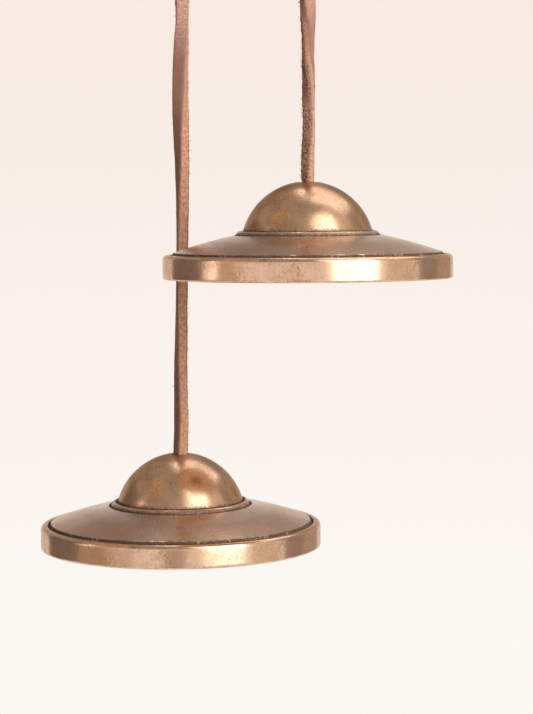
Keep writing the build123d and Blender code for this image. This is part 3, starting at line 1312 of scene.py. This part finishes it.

# %% [markdown]
# ## Lights and cards
#
# A tall soft box at the right of the camera is the key, with a fill beside it for the leather alone. A
# narrow strip at the left draws a line on the curved metal, a soft box overhead and behind lights the domes'
# tops and the shoulders, and a second strip behind it puts a bright streak near the holes. Polished metal
# shows everything round it, so photographers also stand cards beside it, out of the picture: dark ones give
# the bands their dark ends, warm ones an orange or tan side, and low ones tone the bands' lower edges. No
# lamp lights the cards: each glows evenly at its tone, as painted light. The strips and the cards are for
# reflections alone, so they are hidden from the camera and from soft light.

# %% Placing lights and cards


def studio_place(turn, rise, distance):
    """A place round the pair: degrees to the right of the camera, degrees up, and metres away."""
    angle = camera_turn - math.pi / 2 + math.radians(turn)
    lift = math.radians(rise)
    way = Vector((math.cos(angle) * math.cos(lift), math.sin(angle) * math.cos(lift), math.sin(lift)))
    return hang_centre + way * distance


def facing_pair(place):
    """The rotation that turns a light or a card's -Z towards the pair."""
    return (hang_centre - place).to_track_quat("-Z", "Y").to_euler()


print("straight before the camera:", [round(v, 2) for v in studio_place(0, 0, 1.0)])

# %% Soft boxes


def add_soft_box(name, turn, rise, distance, wide, tall, watts, colour, leather=True, metal=True):
    """A rectangular soft light that the camera doesn't see."""
    data = bpy.data.lights.new(name, "AREA")
    data.shape = "RECTANGLE"
    data.size, data.size_y = wide, tall
    data.energy = watts
    data.color = colour
    light = bpy.data.objects.new(name, data)
    light.location = studio_place(turn, rise, distance)
    light.rotation_euler = facing_pair(light.location)
    light.visible_camera = False
    light.visible_diffuse = leather
    light.visible_glossy = metal
    scene.collection.objects.link(light)
    return light


# Degrees right of the camera and up, metres away, wide and tall in metres, watts and colour
add_soft_box("key", 37, 22, 1.0, 0.70, 1.46, 8.3, (1.0, 0.97, 0.94))
add_soft_box("key_fill", 42, 10, 1.0, 0.70, 1.10, 4.5, (1.0, 0.97, 0.94), metal=False)
add_soft_box("strip", -79, 9.5, 0.9, 0.11, 0.40, 0.165, (1.0, 0.95, 0.90), leather=False)
overhead = add_soft_box("overhead", 129, 53, 1.243, 1.0, 1.05, 4.1, (1.0, 0.985, 0.97))
overhead.rotation_euler = (0, 0, camera_turn)
add_soft_box("back_strip", -170, 69, 1.2, 0.19, 0.62, 0.78, (1.0, 0.96, 0.93), leather=False)
print("lights:", [light.name for light in bpy.data.lights])

# %% Cards


def add_card(name, turn, rise, distance, wide, tall, colour):
    """A flat card that glows evenly at its tone, painted light in place of a lit card, seen only in
    reflections.
    """
    material, tree = empty_material(name)
    tone = add_node(tree, "ShaderNodeEmission", {"Color": colour, "Strength": 1.0})
    add_node(tree, "ShaderNodeOutputMaterial", {"Surface": tone.outputs[0]})
    signs = [(-1, -1), (1, -1), (1, 1), (-1, 1)]
    corners = [(across * wide / 2, up * tall / 2, 0) for across, up in signs]
    mesh = bpy.data.meshes.new(name)
    mesh.from_pydata(corners, [], [(0, 1, 2, 3)])
    mesh.materials.append(material)
    card = bpy.data.objects.new(name, mesh)
    card.location = studio_place(turn, rise, distance)
    card.rotation_euler = facing_pair(card.location)
    card.visible_camera = False
    card.visible_diffuse = False
    card.visible_shadow = False
    scene.collection.objects.link(card)


# Degrees right of the camera and up, metres away, wide and tall in metres, and tone
add_card("low_card", -77, -21, 0.85, 0.40, 0.25, (0.42, 0.32, 0.25, 1))
add_card("low_pale_card", -50, -21, 0.9, 0.38, 0.26, (0.68, 0.58, 0.50, 1))
add_card("dark_card", -112.5, 2, 1.1, 0.91, 0.95, (0.225, 0.195, 0.17, 1))
add_card("orange_card", -66, -6, 1.2, 0.34, 0.8, (0.65, 0.49, 0.35, 1))
add_card("warm_card", -72, 48, 1.1, 0.5, 0.45, (0.60, 0.40, 0.25, 1))
add_card("flag", -170, 33, 1.1, 0.34, 0.38, (0.29, 0.25, 0.225, 1))
add_card("tripod_card", -4, -22, 0.9, 0.26, 0.5, (0.53, 0.45, 0.39, 1))
add_card("side_card", 76, 12, 1.3, 0.70, 1.8, (0.79, 0.71, 0.59, 1))
add_card("brown_card", 108, 0, 1.3, 0.60, 1.1, (0.36, 0.32, 0.29, 1))
add_card("tan_card", 136, 0, 1.3, 0.72, 1.1, (0.55, 0.47, 0.38, 1))
